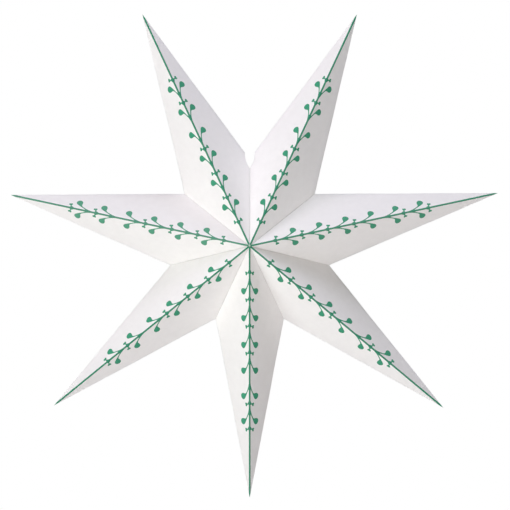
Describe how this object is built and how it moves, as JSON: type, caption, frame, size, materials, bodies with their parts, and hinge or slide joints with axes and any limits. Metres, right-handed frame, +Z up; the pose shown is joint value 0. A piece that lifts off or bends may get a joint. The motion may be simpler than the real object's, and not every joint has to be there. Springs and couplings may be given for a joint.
{
  "type": "paper star lantern",
  "caption": "Hanging star lantern of folded white paper points glued side by side, with a green leaf sprig printed along every ridge.",
  "frame": {"origin": "the cord opening, at the bottom of the valley of the closing seam at the top", "axes": "+Z up along the cord, -Y towards the front peak, +X to the right seen from the front"},
  "size_m": [0.6881, 0.17, 0.6824],
  "materials": {
    "white_paper": "matte, smooth",
    "green_ink": "matte print"
  },
  "bodies": {
    "root": {"point_1": "white_paper", "point_2": "white_paper", "point_3": "white_paper", "point_4": "white_paper", "point_5": "white_paper", "point_6": "white_paper", "point_7": "white_paper", "print_1": "green_ink", "print_2": "green_ink", "print_3": "green_ink", "print_4": "green_ink", "print_5": "green_ink", "print_6": "green_ink", "print_7": "green_ink"}
  },
  "joints": []
}
